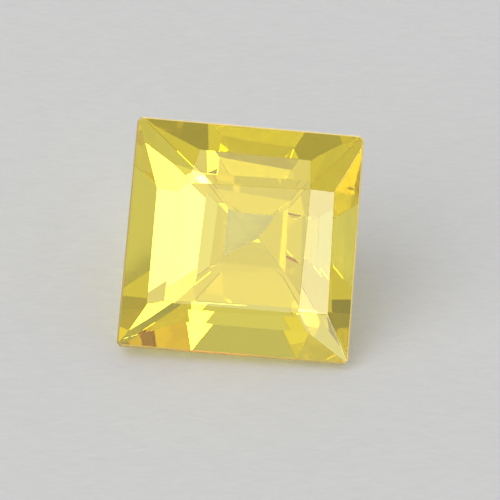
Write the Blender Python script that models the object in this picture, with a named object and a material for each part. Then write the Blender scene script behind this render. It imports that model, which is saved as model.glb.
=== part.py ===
"""A yellow sapphire, cut square with stepped facets and lying on one of its lower facets.

The stone is made as a cutter makes it: a block is ground flat at one setting after another, and
each flat, a facet, is given by the way it faces, its tilt from the girdle plane and one point
that it passes through. While it is cut, the stone stands table up on its own axis: +Z is up
through the table, -Y is the front, and z = 0 is the upper edge of the girdle, the narrow wall
round its widest part. Distances are in millimetres there, and the finished stone is in metres.
"""

from math import cos, radians, sin

import bmesh
import bpy
from mathutils import Matrix, Vector

MM = 0.001

# Heights along the stone's axis, in millimetres from the girdle's upper edge.
TABLE_HEIGHT = 0.31
GIRDLE_THICKNESS = 0.15
PAVILION_DEPTH = 2.895

# The point at the bottom of the stone, a little off its axis.
CULET = Vector((0.415, 0.21, -PAVILION_DEPTH))

# Girdle walls: the way each faces in degrees, and its distance from the axis.
GIRDLE_WALLS = {
    "right": (0.2, 2.50),
    "back": (89.7, 2.505),
    "left": (179.2, 2.50),
    "front": (-90.0, 2.505),
}
# The girdle's corners are ground blunt by this much, measured along the diagonal.
CORNER_BLUNTING = 0.06

# The table's edges: the way each faces, and its distance from the axis.
TABLE_EDGES = {
    "right": (-1.3, 1.36),
    "back": (91.5, 1.16),
    "left": (178.3, 1.535),
    "front": (-90.0, 1.515),
}

# Tilts of the crown's main facets, which rise from the girdle.
MAIN_TILTS = {"right": 20.8, "back": 20.6, "left": 25.3, "front": 20.4}

# Tilts of the crown's flat facets along the table.
STAR_TILTS = {"right": 9.4, "back": 5.6, "left": 6.9, "front": 12.4}

# The crown's corner facets: the sides that each stands between, the way it faces, its tilt and
# how deep below the table's corner it is ground.
CORNER_FACETS = {
    "back_left": ("back", "left", 131.5, 9.5, 0.025),
    "back_right": ("back", "right", 33.1, 11.4, 0.0),
    "front_right": ("front", "right", -34.9, 11.2, 0.005),
    "front_left": ("front", "left", -100.6, 14.0, 0.01),
}

# The steep upper row of the pavilion, which falls from the girdle's lower edge: the way each
# facet faces and its tilt.
UPPER_FACETS = {
    "right": (1.6, 57.5),
    "back": (89.2, 57.1),
    "left": (177.7, 48.7),
    "front": (-88.0, 50.8),
}

# The middle row: the way each facet faces, its tilt, how far out from the culet its upper edge
# lies and how deep.
MIDDLE_FACETS = {
    "right": (1.0, 56.3, 1.235, 1.485),
    "back": (88.7, 49.8, 1.22, 1.81),
    "left": (177.7, 46.1, 1.335, 1.945),
    "front": (-87.8, 46.3, 1.635, 1.47),
}

# The lower row, which ends in the culet: the way each facet faces and its tilt.
LOWER_FACETS = {
    "right": (0.6, 38.1),
    "back": (87.9, 26.8),
    "left": (177.1, 23.8),
    "front": (-89.3, 34.0),
}

# The stone lies on this facet of the middle row.
RESTING_SIDE = "front"

BLOCK_SIZE = 12.0
WELD = 1e-5

STONE_COLOUR = (0.90, 0.72, 0.10, 1.0)
STONE_ROUGHNESS = 0.03
SAPPHIRE_IOR = 1.766


def level_direction(facing):
    """The level unit vector that faces this way, in degrees round from +X."""
    return Vector((cos(radians(facing)), sin(radians(facing)), 0.0))


def facet_normal(facing, tilt, downward=False):
    """The outward normal of a facet tilted this much from the girdle plane."""
    up = -cos(radians(tilt)) if downward else cos(radians(tilt))
    return level_direction(facing) * sin(radians(tilt)) + Vector((0.0, 0.0, up))


def corner_of(outline, side, other, height):
    """Where two sides of an outline meet, at this height."""
    facing, distance = outline[side]
    other_facing, other_distance = outline[other]
    sides = Matrix((level_direction(facing).xy, level_direction(other_facing).xy))
    corner = sides.inverted() @ Vector((distance, other_distance))
    return Vector((corner.x, corner.y, height))


def girdle_facets():
    """The four walls of the girdle and its four blunted corners."""
    for facing, distance in GIRDLE_WALLS.values():
        wall = level_direction(facing)
        yield wall * distance, wall
    for side, other, *_ in CORNER_FACETS.values():
        corner = corner_of(GIRDLE_WALLS, side, other, 0.0)
        outward = corner.normalized()
        yield corner - outward * CORNER_BLUNTING, outward


def crown_facets():
    """The table, then the main facets, the facets along the table and those at its corners."""
    yield Vector((0.0, 0.0, TABLE_HEIGHT)), Vector((0.0, 0.0, 1.0))
    for side, (facing, distance) in GIRDLE_WALLS.items():
        yield level_direction(facing) * distance, facet_normal(facing, MAIN_TILTS[side])
    for side, (facing, distance) in TABLE_EDGES.items():
        edge = level_direction(facing) * distance + Vector((0.0, 0.0, TABLE_HEIGHT))
        yield edge, facet_normal(facing, STAR_TILTS[side])
    for side, other, facing, tilt, depth in CORNER_FACETS.values():
        normal = facet_normal(facing, tilt)
        yield corner_of(TABLE_EDGES, side, other, TABLE_HEIGHT) - normal * depth, normal


def pavilion_facets():
    """The steep row below the girdle, the middle row, and the lower row that meets at the culet."""
    for side, (facing, tilt) in UPPER_FACETS.items():
        wall_facing, distance = GIRDLE_WALLS[side]
        edge = level_direction(wall_facing) * distance - Vector((0.0, 0.0, GIRDLE_THICKNESS))
        yield edge, facet_normal(facing, tilt, downward=True)
    for side, (facing, tilt, out, depth) in MIDDLE_FACETS.items():
        edge = CULET + level_direction(GIRDLE_WALLS[side][0]) * out
        edge.z = -depth
        yield edge, facet_normal(facing, tilt, downward=True)
    for facing, tilt in LOWER_FACETS.values():
        yield CULET, facet_normal(facing, tilt, downward=True)


def grind(stone, point, normal):
    """Cuts away all that lies outside the plane and closes the stone with the new facet."""
    cut = bmesh.ops.bisect_plane(
        stone,
        geom=stone.verts[:] + stone.edges[:] + stone.faces[:],
        dist=WELD,
        plane_co=point,
        plane_no=normal,
        clear_outer=True,
    )
    rim = [item for item in cut["geom_cut"] if isinstance(item, bmesh.types.BMEdge)]
    if len(rim) < 3:
        raise ValueError(f"the facet through {point[:]} misses the stone")
    bmesh.ops.edgeloop_fill(stone, edges=rim)


def cut_stone():
    """The finished stone, still table up, in millimetres."""
    stone = bmesh.new()
    bmesh.ops.create_cube(stone, size=BLOCK_SIZE)
    for point, normal in (*girdle_facets(), *pavilion_facets(), *crown_facets()):
        grind(stone, point, normal)
    bmesh.ops.recalc_face_normals(stone, faces=stone.faces[:])
    return stone


def lay_down(stone):
    """Turns the stone onto its resting facet and centres it over the origin."""
    facing, tilt = MIDDLE_FACETS[RESTING_SIDE][:2]
    down = facet_normal(facing, tilt, downward=True)
    stone.transform(down.rotation_difference(Vector((0.0, 0.0, -1.0))).to_matrix().to_4x4())
    lowest = Vector(min(vert.co[axis] for vert in stone.verts) for axis in range(3))
    highest = Vector(max(vert.co[axis] for vert in stone.verts) for axis in range(3))
    centre = (lowest + highest) / 2
    stone.transform(Matrix.Translation((-centre.x, -centre.y, -lowest.z)))


def sapphire_material():
    """Clear yellow sapphire with a polished surface."""
    material = bpy.data.materials.new("yellow_sapphire")
    material.use_nodes = True
    shader = material.node_tree.nodes["Principled BSDF"]
    shader.inputs["Base Color"].default_value = STONE_COLOUR
    shader.inputs["Metallic"].default_value = 0.0
    shader.inputs["Roughness"].default_value = STONE_ROUGHNESS
    shader.inputs["IOR"].default_value = SAPPHIRE_IOR
    shader.inputs["Transmission Weight"].default_value = 1.0
    return material


def make_sapphire():
    """The stone as one object, in metres."""
    stone = cut_stone()
    lay_down(stone)
    stone.transform(Matrix.Scale(MM, 4))
    mesh = bpy.data.meshes.new("sapphire")
    stone.to_mesh(mesh)
    stone.free()
    mesh.materials.append(sapphire_material())
    bpy.context.scene.collection.objects.link(bpy.data.objects.new("sapphire", mesh))


def main():
    for old in list(bpy.data.objects):
        bpy.data.objects.remove(old, do_unlink=True)
    make_sapphire()


main()
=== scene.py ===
"""The finish of a square-cut yellow sapphire, with its pale stage, its soft boxes and its camera.

The file is laid out as an add-on: settings, one operator for the stone and one for the stage, and
a panel that lists them. Run as a script, it registers them and calls them in order.
"""

from math import cos, pi, radians, sin, tan

import bmesh
import bpy
from bpy.props import FloatProperty, FloatVectorProperty, PointerProperty
from mathutils import Matrix, Vector


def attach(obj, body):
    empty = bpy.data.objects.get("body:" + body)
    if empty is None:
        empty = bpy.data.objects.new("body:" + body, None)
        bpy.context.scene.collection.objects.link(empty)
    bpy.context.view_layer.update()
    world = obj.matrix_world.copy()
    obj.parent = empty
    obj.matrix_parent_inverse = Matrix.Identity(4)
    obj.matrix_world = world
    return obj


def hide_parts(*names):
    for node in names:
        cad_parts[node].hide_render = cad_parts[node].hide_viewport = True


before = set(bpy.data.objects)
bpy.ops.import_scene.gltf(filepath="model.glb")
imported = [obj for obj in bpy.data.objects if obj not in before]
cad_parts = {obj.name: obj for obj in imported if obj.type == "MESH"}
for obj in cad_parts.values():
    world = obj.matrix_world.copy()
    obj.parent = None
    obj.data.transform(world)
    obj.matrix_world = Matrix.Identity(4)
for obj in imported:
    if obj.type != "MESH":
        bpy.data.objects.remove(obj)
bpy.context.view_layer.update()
CAD_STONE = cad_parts["sapphire"]

bl_info = {
    "name": "Yellow Sapphire",
    "version": (1, 0, 0),
    "blender": (4, 5, 0),
    "location": "3D View > Sidebar > Sapphire",
    "description": "Finishes a square-cut yellow sapphire and lights it on a pale surface",
    "category": "Object",
}

MM = 0.001
MICRON = 0.000001

# The picture is a square of 500 pixels. The girdle is 230 of them wide, round this pixel.
PICTURE_SIDE = 500
GIRDLE_PIXELS = 230
STONE_PIXEL = Vector((242, 240.25))

# The camera's sensor is 36 mm wide. It sees from this share of its distance to this many times it.
SENSOR_WIDTH = 36.0
NEAREST_SEEN = 0.01
FARTHEST_SEEN = 10.0

# A path of light turns this often at most, so that deep reflections in the stone aren't cut off.
LIGHT_BOUNCES = 32

# The stone rests on the fibres of the surface, so a hair of air stays under its lowest facet.
AIR_GAP = 0.02 * MM

# The sheet reaches this far from the stone, in metres, and has this many squares on each side.
SHEET_REACH = 0.6
SHEET_SQUARES = 8

# The sheet's fibres are this many times longer than wide and lie along these ways, in degrees
# round from the stone's right. They lie this many widths apart. Between them the sheet is this
# share as bright. Their relief is as high as they are wide, and this much of it shows.
FIBRE_STRETCH = 5.0
FIBRE_WAYS = (-17, 2, 21)
FIBRE_SPACING = 2.0
FIBRE_SHADE = 0.86
FIBRE_RELIEF = 0.15
# How much finer detail the fibres hold, and how strong it is.
FIBRE_DETAIL = 2.0
FIBRE_ROUGHNESS = 0.6

# Uncoated paper scatters light almost evenly and has hardly any gloss.
PAPER_ROUGHNESS = 0.9
PAPER_GLOSS = 0.2

# The table's normal rises more than this, and a wall of the girdle stands so square to the table
# that the product of their normals is less than this.
FACES_UP = 0.5
WALL_LEAN = 0.01
# Touching faces that turn less than the first angle are one flat, and a flat that turns less
# than the second from a larger one is a sliver of it, in degrees.
FLAT_TURN = 0.3
SAME_FACET_TURN = 1.0

# The ground rim is rounded in this many flat cuts.
RIM_CUTS = 3
# In millimetres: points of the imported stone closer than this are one, and so are those of the
# finished stone, which is ground from a block. Smaller packed faces than this, in square
# millimetres, are slivers.
PACKED_WELD = 0.0005
WELD = 0.00001
BLOCK_SIZE = 20.0
SMALLEST_FACET = 0.001

# The places of the stone's two finishes on its mesh.
POLISHED = 0
GROUND = 1

SAPPHIRE_IOR = 1.766
# The crystal's growth zones follow each other in this direction, and tint it this much at most.
GROWTH_DIRECTION = (0.82, 0.31, 0.48)
ZONE_DETAIL = 3.0
CLEAR = "#FFFFFF"
ZONE_TINT = "#FFFDF4"

# The ground girdle is partly matt, and this share of the light goes on through it.
GROUND_COLOUR = "#C4B35C"
GROUND_CLEARNESS = 0.25
# Its roughness goes from the first value to the second as the height of its grains, which runs
# from 0 to 1, goes over the range below.
GROUND_ROUGHNESS = (0.35, 0.6)
GRAIN_HEIGHTS = (0.3, 0.7)
GRAIN_DETAIL = 2.0
# The dents between the grains are this share of the grit deep, and this much of that shows.
DENT_DEPTH = 0.25
DENT_STRENGTH = 0.4

# The sockets of a node that mixes two colours.
FACTOR = 0
FIRST_COLOUR = 6
SECOND_COLOUR = 7
MIXED = 2

# The mottling of the grey cards is this coarse, and where it is darkest this share as bright.
BOARD_MOTTLE = 2 * MM
BOARD_DETAIL = 3.0
BOARD_SHADE = 0.95
BOARD_ROUGHNESS = 0.95
BOARD_GLOSS = 0.1

# Soft boxes: the way each stands from the stone in degrees, 0 being to the right and 90 behind,
# its height in degrees, its width and height in metres and its brightness against white.
BOX_DISTANCE = 0.9
SOFT_BOXES = {
    "front_right_tower": (313, 30, 0.25, 0.82, 3.9),
    "high_front_strip": (265, 49, 0.38, 0.11, 1.5),
    "front_right_box": (307, 23, 0.58, 0.43, 1.8),
    "front_right_strip": (307, 19, 0.50, 0.29, 5.5),
    "low_right_tower": (353, 10, 0.17, 0.44, 2.1),
    "left_tower": (188, 19, 0.18, 0.49, 0.3),
    "back_box": (74, 21, 0.45, 0.51, 3.8),
    "back_left_tower": (126, 33, 0.18, 0.35, 5.7),
    "high_front_left_tower": (207, 58, 0.11, 0.53, 3.8),
    "high_left_box": (172, 67, 0.34, 0.26, 4.1),
    "low_back_box": (77, 6, 0.36, 0.27, 4.1),
    "high_front_box": (281, 65, 0.17, 0.23, 1.1),
    "high_back_tower": (105, 62, 0.15, 0.34, 4.2),
    "back_strip": (74, 35, 0.37, 0.17, 4.8),
}

# One more box lights the sheet alone. The others shine on the stone alone, and through it.
SHEET_FILL = (212, 45, 0.90, 0.90, 1.2)

# Grey cards behind the boxes, which hold back the light from all round: they stand in the same
# way, and the last value is their colour.
CARD_DISTANCE = 1.0
GREY_CARDS = {
    "right_card": (5, 31, 0.67, 0.38, "#B8B8B8"),
    "left_card": (176, 18, 0.75, 0.95, "#B7B7B7"),
    "high_back_right_card": (26, 54, 0.84, 0.11, "#A6A6A6"),
    "higher_back_right_card": (48, 63, 0.44, 0.22, "#939393"),
    "back_card": (73, 38, 0.91, 0.12, "#DEDEDE"),
    "front_right_card": (328, 41, 0.27, 0.14, "#BABABA"),
}


def linear(colour):
    """An sRGB hex colour as linear red, green and blue."""
    parts = [int(colour[place:place + 2], 16) / 255 for place in (1, 3, 5)]
    return [part / 12.92 if part <= 0.04045 else ((part + 0.055) / 1.055) ** 2.4 for part in parts]


class StoneSettings(bpy.types.PropertyGroup):
    """What a user may change on the stone."""

    # A real junction is a few microns wide. This one is as coarse as it needs to be to show.
    junction: FloatProperty(
        name="Junction width",
        description="Width of the narrow flat line where two facets meet",
        default=10 * MICRON,
        min=0.0,
        unit="LENGTH",
        subtype="DISTANCE",
    )
    rim: FloatProperty(
        name="Rim radius",
        description="Radius of the ground rim between the girdle and the crown",
        default=0.07 * MM,
        min=0.0,
        unit="LENGTH",
        subtype="DISTANCE",
    )
    depth_colour: FloatVectorProperty(
        name="Depth colour",
        description="Colour that white light keeps on its way through the crystal",
        default=linear("#FFF900"),
        min=0.0,
        max=1.0,
        subtype="COLOR",
    )
    depth_strength: FloatProperty(
        name="Depth strength",
        description="How fast the crystal takes up light, for each metre of the way",
        default=540.0,
        min=0.0,
    )
    zone_width: FloatProperty(
        name="Growth zone width",
        description="Width of the crystal's straight growth zones",
        default=0.7 * MM,
        min=0.01 * MM,
        unit="LENGTH",
        subtype="DISTANCE",
    )
    # A fine lap's grit is about 30 microns, a little more than one pixel.
    grit: FloatProperty(
        name="Girdle grit",
        description="Size of the grains that ground the girdle",
        default=30 * MICRON,
        min=MICRON,
        unit="LENGTH",
        subtype="DISTANCE",
    )


class StageSettings(bpy.types.PropertyGroup):
    """What a user may change on the stage."""

    lens: FloatProperty(
        name="Lens",
        description="Focal length of the camera, in millimetres",
        default=600.0,
        min=50.0,
        unit="CAMERA",
    )
    lean_right: FloatProperty(
        name="Lean right",
        description="How far the camera stands to the right of straight above the table",
        default=radians(-2.72),
        unit="ROTATION",
        subtype="ANGLE",
    )
    lean_back: FloatProperty(
        name="Lean back",
        description="How far the camera stands behind straight above the table",
        default=radians(-5.36),
        unit="ROTATION",
        subtype="ANGLE",
    )
    turn: FloatProperty(
        name="Turn",
        description="How far the stone is turned clockwise in the picture",
        default=radians(4.45),
        unit="ROTATION",
        subtype="ANGLE",
    )
    surface_colour: FloatVectorProperty(
        name="Surface colour",
        description="Colour of the pale sheet that the stone lies on",
        default=linear("#E7E7E7"),
        min=0.0,
        max=1.0,
        subtype="COLOR",
    )
    # Real fibres are about 0.03 mm wide. These are drawn twice as wide, so that they show.
    fibre_width: FloatProperty(
        name="Fibre width",
        description="Width of the sheet's fibres",
        default=0.06 * MM,
        min=MICRON,
        unit="LENGTH",
        subtype="DISTANCE",
    )
    low_light: FloatVectorProperty(
        name="Low light",
        description="Colour of the light from all round, near the level of the stone",
        default=linear("#EEEEEE"),
        min=0.0,
        subtype="COLOR",
    )
    high_light: FloatVectorProperty(
        name="High light",
        description="Colour of the light from straight above",
        default=linear("#C9C9C9"),
        min=0.0,
        subtype="COLOR",
    )


def add_node(tree, kind, settings, links=None):
    """Adds a node with its own settings and its sockets' values, and links its inputs."""
    node = tree.nodes.new(kind)
    for name, value in settings.items():
        if isinstance(name, str) and hasattr(node, name):
            setattr(node, name, value)
        else:
            node.inputs[name].default_value = value
    for name, source in (links or {}).items():
        tree.links.new(source, node.inputs[name])
    return node


def new_material(name):
    """A material with an empty node tree but for its output."""
    material = bpy.data.materials.new(name)
    material.use_nodes = True
    tree = material.node_tree
    tree.nodes.clear()
    return material, tree, tree.nodes.new("ShaderNodeOutputMaterial")


def colour_depth(tree, output, settings):
    """Colours the crystal all through: it takes up blue light on the light's way through it."""
    depth = add_node(
        tree,
        "ShaderNodeVolumeAbsorption",
        {"Color": (*settings.depth_colour, 1.0), "Density": settings.depth_strength},
    )
    tree.links.new(depth.outputs["Volume"], output.inputs["Volume"])


def polished_sapphire(settings):
    """Sapphire, cut on a lap and polished: clear, with mirror-flat facets and faint growth zones."""
    material, tree, output = new_material("sapphire_polished")
    place = add_node(tree, "ShaderNodeTexCoord", {})
    along = add_node(
        tree,
        "ShaderNodeVectorMath",
        {"operation": "DOT_PRODUCT", 1: GROWTH_DIRECTION},
        {0: place.outputs["Object"]},
    )
    zones = add_node(
        tree,
        "ShaderNodeTexNoise",
        {
            "noise_dimensions": "1D",
            "Scale": 1 / settings.zone_width,
            "Detail": ZONE_DETAIL,
        },
        {"W": along.outputs["Value"]},
    )
    tint = add_node(
        tree,
        "ShaderNodeMix",
        {
            "data_type": "RGBA",
            FIRST_COLOUR: (*linear(CLEAR), 1.0),
            SECOND_COLOUR: (*linear(ZONE_TINT), 1.0),
        },
        {FACTOR: zones.outputs["Fac"]},
    )
    shader = add_node(
        tree,
        "ShaderNodeBsdfPrincipled",
        {"Roughness": 0.0, "IOR": SAPPHIRE_IOR, "Transmission Weight": 1.0},
        {"Base Color": tint.outputs[MIXED]},
    )
    tree.links.new(shader.outputs["BSDF"], output.inputs["Surface"])
    colour_depth(tree, output, settings)
    return material


def ground_girdle(settings):
    """The same sapphire, ground but not polished: a frosted band that scatters the yellow light."""
    material, tree, output = new_material("sapphire_ground_girdle")
    place = add_node(tree, "ShaderNodeTexCoord", {})
    grains = add_node(
        tree,
        "ShaderNodeTexNoise",
        {"Scale": 1 / settings.grit, "Detail": GRAIN_DETAIL},
        {"Vector": place.outputs["Object"]},
    )
    dent = add_node(
        tree,
        "ShaderNodeBump",
        {"Strength": DENT_STRENGTH, "Distance": DENT_DEPTH * settings.grit},
        {"Height": grains.outputs["Fac"]},
    )
    dullness = add_node(
        tree,
        "ShaderNodeMapRange",
        {
            "From Min": GRAIN_HEIGHTS[0],
            "From Max": GRAIN_HEIGHTS[1],
            "To Min": GROUND_ROUGHNESS[0],
            "To Max": GROUND_ROUGHNESS[1],
        },
        {"Value": grains.outputs["Fac"]},
    )
    shader = add_node(
        tree,
        "ShaderNodeBsdfPrincipled",
        {
            "Base Color": (*linear(GROUND_COLOUR), 1.0),
            "IOR": SAPPHIRE_IOR,
            "Transmission Weight": GROUND_CLEARNESS,
        },
        {"Roughness": dullness.outputs["Result"], "Normal": dent.outputs["Normal"]},
    )
    tree.links.new(shader.outputs["BSDF"], output.inputs["Surface"])
    colour_depth(tree, output, settings)
    return material


def pale_sheet(settings):
    """Uncoated pale sheet, pressed from pulp: matt, with short faint fibres lying nearly one way."""
    material, tree, output = new_material("sheet_uncoated_paper")
    place = add_node(tree, "ShaderNodeTexCoord", {})
    height = None
    for angle in FIBRE_WAYS:
        turned = add_node(
            tree,
            "ShaderNodeMapping",
            {
                "vector_type": "TEXTURE",
                "Rotation": (0.0, 0.0, radians(angle)),
                "Scale": (FIBRE_STRETCH, 1.0, 1.0),
            },
            {"Vector": place.outputs["Object"]},
        )
        fibres = add_node(
            tree,
            "ShaderNodeTexNoise",
            {
                "Scale": 1 / (FIBRE_SPACING * settings.fibre_width),
                "Detail": FIBRE_DETAIL,
                "Roughness": FIBRE_ROUGHNESS,
            },
            {"Vector": turned.outputs["Vector"]},
        )
        if height is None:
            height = fibres.outputs["Fac"]
        else:
            layer = add_node(
                tree,
                "ShaderNodeMath",
                {"operation": "MAXIMUM"},
                {0: height, 1: fibres.outputs["Fac"]},
            )
            height = layer.outputs["Value"]
    relief = add_node(
        tree,
        "ShaderNodeBump",
        {"Strength": FIBRE_RELIEF, "Distance": settings.fibre_width},
        {"Height": height},
    )
    shade = add_node(
        tree,
        "ShaderNodeMix",
        {
            "data_type": "RGBA",
            FIRST_COLOUR: (*(FIBRE_SHADE * part for part in settings.surface_colour), 1.0),
            SECOND_COLOUR: (*settings.surface_colour, 1.0),
        },
        {FACTOR: height},
    )
    shader = add_node(
        tree,
        "ShaderNodeBsdfPrincipled",
        {"Roughness": PAPER_ROUGHNESS, "Specular IOR Level": PAPER_GLOSS},
        {"Base Color": shade.outputs[MIXED], "Normal": relief.outputs["Normal"]},
    )
    tree.links.new(shader.outputs["BSDF"], output.inputs["Surface"])
    return material


def grind(shape, point, normal, finish):
    """Takes off what lies outside this plane and closes the stone with a face of this finish."""
    cut = bmesh.ops.bisect_plane(
        shape,
        geom=shape.verts[:] + shape.edges[:] + shape.faces[:],
        dist=WELD,
        plane_co=point,
        plane_no=normal,
        clear_outer=True,
    )
    line = [item for item in cut["geom_cut"] if isinstance(item, bmesh.types.BMEdge)]
    if len(line) > 2:
        for face in bmesh.ops.edgeloop_fill(shape, edges=line)["faces"]:
            face.material_index = finish


def packed_facets():
    """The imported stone's whole facets, largest first, each as a point on it and its normal."""
    packed = bmesh.new()
    packed.from_mesh(CAD_STONE.data)
    packed.transform(Matrix.Scale(1 / MM, 4))
    bmesh.ops.remove_doubles(packed, verts=packed.verts, dist=PACKED_WELD)
    bmesh.ops.dissolve_limit(
        packed,
        angle_limit=radians(FLAT_TURN),
        verts=packed.verts,
        edges=packed.edges,
    )
    facets = []
    for face in sorted(packed.faces, key=lambda face: face.calc_area(), reverse=True):
        normal = face.normal.copy()
        part_of_larger = any(normal.angle(other) < radians(SAME_FACET_TURN) for _, other in facets)
        if face.calc_area() > SMALLEST_FACET and not part_of_larger:
            facets.append((face.calc_center_median(), normal))
    packed.free()
    return facets


def table_of(facets):
    """The normal of the table, the largest facet that faces up."""
    return next(normal for point, normal in facets if normal.z > FACES_UP)


def is_wall(normal, table):
    """Whether a facet belongs to the girdle, which stands square to the table."""
    return abs(normal.dot(table)) < WALL_LEAN


def stone_axes():
    """Which way the stone's right, back and table face, its axis at the girdle and its width."""
    facets = packed_facets()
    table = table_of(facets)
    walls = [(point * MM, normal) for point, normal in facets if is_wall(normal, table)]
    back = -min((normal for point, normal in walls), key=lambda normal: normal.y)
    right = back.cross(table).normalized()
    back = table.cross(right)
    reach = []
    for way in (right, -right, back, -back):
        point = max(walls, key=lambda wall: wall[1].dot(way))[0]
        reach.append(point.dot(way))
    centre = right * (reach[0] - reach[1]) / 2 + back * (reach[2] - reach[3]) / 2
    stone = CAD_STONE.data
    heights = [
        stone.vertices[index].co.dot(table)
        for face in stone.polygons
        if is_wall(face.normal, table)
        for index in face.vertices
    ]
    centre += table * max(heights)
    return right, back, table, centre, reach[0] + reach[1]


def edge_cuts(shape, table, settings):
    """The flat cuts that ease each edge: one on a junction, a few round the ground rim.

    A cut beside the girdle is ground, and the others are polished.
    """
    for edge in shape.edges:
        first, second = [face.normal.copy() for face in edge.link_faces]
        finishes = {face.material_index for face in edge.link_faces}
        angle = first.angle(second)
        on_rim = len(finishes) == 2 and max(first.dot(table), second.dot(table)) > WALL_LEAN
        if on_rim:
            radius, cuts = settings.rim / MM, RIM_CUTS
        else:
            radius, cuts = settings.junction / MM / 2 / tan(angle / 4), 1
        middle = (edge.verts[0].co + edge.verts[1].co) / 2
        centre = middle - (first + second).normalized() * (radius / cos(angle / 2))
        for cut in range(1, cuts + 1):
            outward = first.slerp(second, cut / (cuts + 1))
            yield centre + outward * radius, outward, max(finishes)


def facet_mesh(settings):
    """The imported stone's facets, ground again with a rounded rim and fine lines between them.

    It is worked in millimetres, because the mesh tools lose widths of some microns in metres.
    """
    shape = bmesh.new()
    bmesh.ops.create_cube(shape, size=BLOCK_SIZE)
    facets = packed_facets()
    table = table_of(facets)
    for point, normal in facets:
        grind(shape, point, normal, GROUND if is_wall(normal, table) else POLISHED)
    for cut in list(edge_cuts(shape, table, settings)):
        grind(shape, *cut)
    bmesh.ops.recalc_face_normals(shape, faces=shape.faces[:])
    shape.transform(Matrix.Scale(MM, 4))
    mesh = bpy.data.meshes.new("faceted_sapphire")
    shape.to_mesh(mesh)
    shape.free()
    return mesh


def add_floor(settings):
    """The pale sheet under the stone. Gives back its object."""
    shape = bmesh.new()
    bmesh.ops.create_grid(
        shape,
        x_segments=SHEET_SQUARES,
        y_segments=SHEET_SQUARES,
        size=SHEET_REACH,
    )
    bmesh.ops.translate(shape, verts=shape.verts, vec=(0.0, 0.0, -AIR_GAP))
    mesh = bpy.data.meshes.new("pale_sheet")
    shape.to_mesh(mesh)
    shape.free()
    mesh.materials.append(pale_sheet(settings))
    floor = bpy.data.objects.new("pale_sheet", mesh)
    bpy.context.scene.collection.objects.link(floor)
    return floor


def stand_round(thing, facing, height, distance):
    """Stands a lamp or a card at this distance, looking at the stone, unseen by the camera."""
    away = Vector((
        cos(radians(height)) * cos(radians(facing)),
        cos(radians(height)) * sin(radians(facing)),
        sin(radians(height)),
    ))
    thing.location = away * distance
    thing.rotation_euler = away.to_track_quat("Z", "Y").to_euler()
    thing.visible_camera = False
    bpy.context.scene.collection.objects.link(thing)


def add_soft_box(name, facing, height, width, tall, brightness):
    """A rectangular lamp that looks at the stone. Gives back the lamp."""
    lamp = bpy.data.lights.new(name, "AREA")
    lamp.shape = "RECTANGLE"
    lamp.size = width
    lamp.size_y = tall
    # A rectangular lamp's brightness is its energy over pi times its area.
    lamp.energy = brightness * pi * width * tall
    box = bpy.data.objects.new(name, lamp)
    stand_round(box, facing, height, BOX_DISTANCE)
    return box


def light_only(lamps, thing):
    """Lets these lamps shine on this thing alone, and through it onto what lies beyond."""
    lit = bpy.data.collections.new(f"{thing.name}_alone")
    lit.objects.link(thing)
    for lamp in lamps:
        lamp.light_linking.receiver_collection = lit


def grey_board(name, colour):
    """Card coated in matt grey: even and dull, with the faint mottling of its pulp."""
    material, tree, output = new_material(name + "_matt")
    place = add_node(tree, "ShaderNodeTexCoord", {})
    mottle = add_node(
        tree,
        "ShaderNodeTexNoise",
        {"Scale": 1 / BOARD_MOTTLE, "Detail": BOARD_DETAIL},
        {"Vector": place.outputs["Object"]},
    )
    shade = add_node(
        tree,
        "ShaderNodeMix",
        {
            "data_type": "RGBA",
            FIRST_COLOUR: (*(BOARD_SHADE * part for part in linear(colour)), 1.0),
            SECOND_COLOUR: (*linear(colour), 1.0),
        },
        {FACTOR: mottle.outputs["Fac"]},
    )
    shader = add_node(
        tree,
        "ShaderNodeBsdfPrincipled",
        {"Roughness": BOARD_ROUGHNESS, "Specular IOR Level": BOARD_GLOSS},
        {"Base Color": shade.outputs[MIXED]},
    )
    tree.links.new(shader.outputs["BSDF"], output.inputs["Surface"])
    return material


def add_card(name, facing, height, width, tall, colour):
    """A flat grey card that looks at the stone, scaled from a square of one metre."""
    shape = bmesh.new()
    bmesh.ops.create_grid(shape, x_segments=1, y_segments=1, size=0.5)
    bmesh.ops.scale(shape, verts=shape.verts, vec=(width, tall, 1.0))
    mesh = bpy.data.meshes.new(name)
    shape.to_mesh(mesh)
    shape.free()
    mesh.materials.append(grey_board(name, colour))
    card = bpy.data.objects.new(name, mesh)
    stand_round(card, facing, height, CARD_DISTANCE)


def add_surround(settings):
    """The light from all round, as in a pale tent that is lit from low down."""
    world = bpy.data.worlds.new("pale_tent")
    world.use_nodes = True
    tree = world.node_tree
    way = add_node(tree, "ShaderNodeTexCoord", {})
    parts = add_node(tree, "ShaderNodeSeparateXYZ", {}, {0: way.outputs["Generated"]})
    light = add_node(
        tree,
        "ShaderNodeMix",
        {
            "data_type": "RGBA",
            FIRST_COLOUR: (*settings.low_light, 1.0),
            SECOND_COLOUR: (*settings.high_light, 1.0),
        },
        {FACTOR: parts.outputs["Z"]},
    )
    tree.links.new(light.outputs[MIXED], tree.nodes["Background"].inputs["Color"])
    bpy.context.scene.world = world


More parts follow.
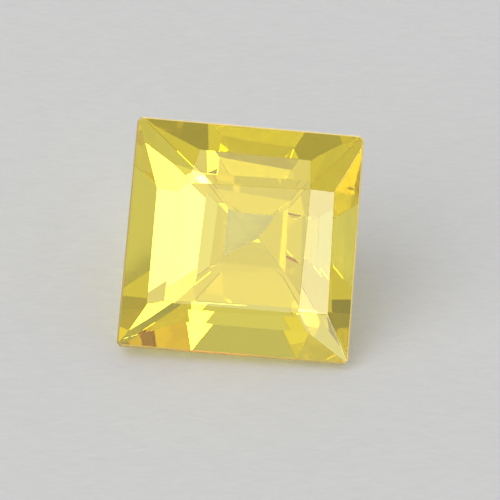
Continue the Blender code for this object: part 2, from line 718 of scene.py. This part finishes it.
def add_camera(settings):
    """Looks almost straight at the table, with the stone at its place in the picture."""
    right, back, table, centre, width = stone_axes()
    lean = Vector((tan(settings.lean_right), tan(settings.lean_back), 1.0)).normalized()
    towards = (right * lean.x + back * lean.y + table * lean.z).normalized()
    upright = (back - towards * towards.dot(back)).normalized()
    upright.rotate(Matrix.Rotation(settings.turn, 3, towards))
    sideways = upright.cross(towards)
    pixel = width / GIRDLE_PIXELS
    offset = (Vector((PICTURE_SIDE, PICTURE_SIDE)) / 2 - STONE_PIXEL) * pixel
    aim = centre + sideways * offset.x - upright * offset.y
    distance = PICTURE_SIDE * pixel * settings.lens / SENSOR_WIDTH
    lens = bpy.data.cameras.new("camera")
    lens.lens = settings.lens
    lens.sensor_width = SENSOR_WIDTH
    lens.clip_start = distance * NEAREST_SEEN
    lens.clip_end = distance * FARTHEST_SEEN
    camera = bpy.data.objects.new("camera", lens)
    axes = Matrix((sideways, upright, towards)).transposed().to_4x4()
    camera.matrix_world = Matrix.Translation(aim + towards * distance) @ axes
    bpy.context.scene.collection.objects.link(camera)
    bpy.context.scene.camera = camera


class SAPPHIRE_OT_finish_stone(bpy.types.Operator):
    """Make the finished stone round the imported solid"""

    bl_idname = "sapphire.finish_stone"
    bl_label = "Finish the stone"

    def execute(self, context):
        settings = context.scene.sapphire_stone
        mesh = facet_mesh(settings)
        mesh.materials.append(polished_sapphire(settings))
        mesh.materials.append(ground_girdle(settings))
        stone = bpy.data.objects.new("faceted_sapphire", mesh)
        context.scene.collection.objects.link(stone)
        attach(stone, "root")
        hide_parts("sapphire")
        return {"FINISHED"}


class SAPPHIRE_OT_set_stage(bpy.types.Operator):
    """Make the pale sheet, the soft boxes, the light from all round and the camera"""

    bl_idname = "sapphire.set_stage"
    bl_label = "Set the stage"

    def execute(self, context):
        stone = bpy.data.objects.get("faceted_sapphire")
        if stone is None:
            raise RuntimeError("the stone has to be finished before its stage is set")
        settings = context.scene.sapphire_stage
        floor = add_floor(settings)
        add_surround(settings)
        boxes = [add_soft_box(name, *box) for name, box in SOFT_BOXES.items()]
        light_only(boxes, stone)
        light_only([add_soft_box("sheet_fill", *SHEET_FILL)], floor)
        for name, card in GREY_CARDS.items():
            add_card(name, *card)
        add_camera(settings)
        scene = context.scene
        scene.view_settings.view_transform = "Standard"
        scene.cycles.max_bounces = LIGHT_BOUNCES
        scene.cycles.glossy_bounces = LIGHT_BOUNCES
        scene.cycles.transmission_bounces = LIGHT_BOUNCES
        return {"FINISHED"}


class SAPPHIRE_PT_panel(bpy.types.Panel):
    """Lists the stone, the stage and their settings"""

    bl_idname = "SAPPHIRE_PT_panel"
    bl_label = "Yellow sapphire"
    bl_space_type = "VIEW_3D"
    bl_region_type = "UI"
    bl_category = "Sapphire"

    def draw(self, context):
        for group, operator in (
            (context.scene.sapphire_stone, SAPPHIRE_OT_finish_stone),
            (context.scene.sapphire_stage, SAPPHIRE_OT_set_stage),
        ):
            box = self.layout.box()
            for name in group.__annotations__:
                box.prop(group, name)
            box.operator(operator.bl_idname)


CLASSES = (
    StoneSettings,
    StageSettings,
    SAPPHIRE_OT_finish_stone,
    SAPPHIRE_OT_set_stage,
    SAPPHIRE_PT_panel,
)


def register():
    for kind in CLASSES:
        bpy.utils.register_class(kind)
    bpy.types.Scene.sapphire_stone = PointerProperty(type=StoneSettings)
    bpy.types.Scene.sapphire_stage = PointerProperty(type=StageSettings)


def unregister():
    del bpy.types.Scene.sapphire_stage
    del bpy.types.Scene.sapphire_stone
    for kind in reversed(CLASSES):
        bpy.utils.unregister_class(kind)


def main():
    """Makes the stone and its stage."""
    register()
    bpy.ops.sapphire.finish_stone()
    bpy.ops.sapphire.set_stage()


if __name__ == "__main__":
    main()
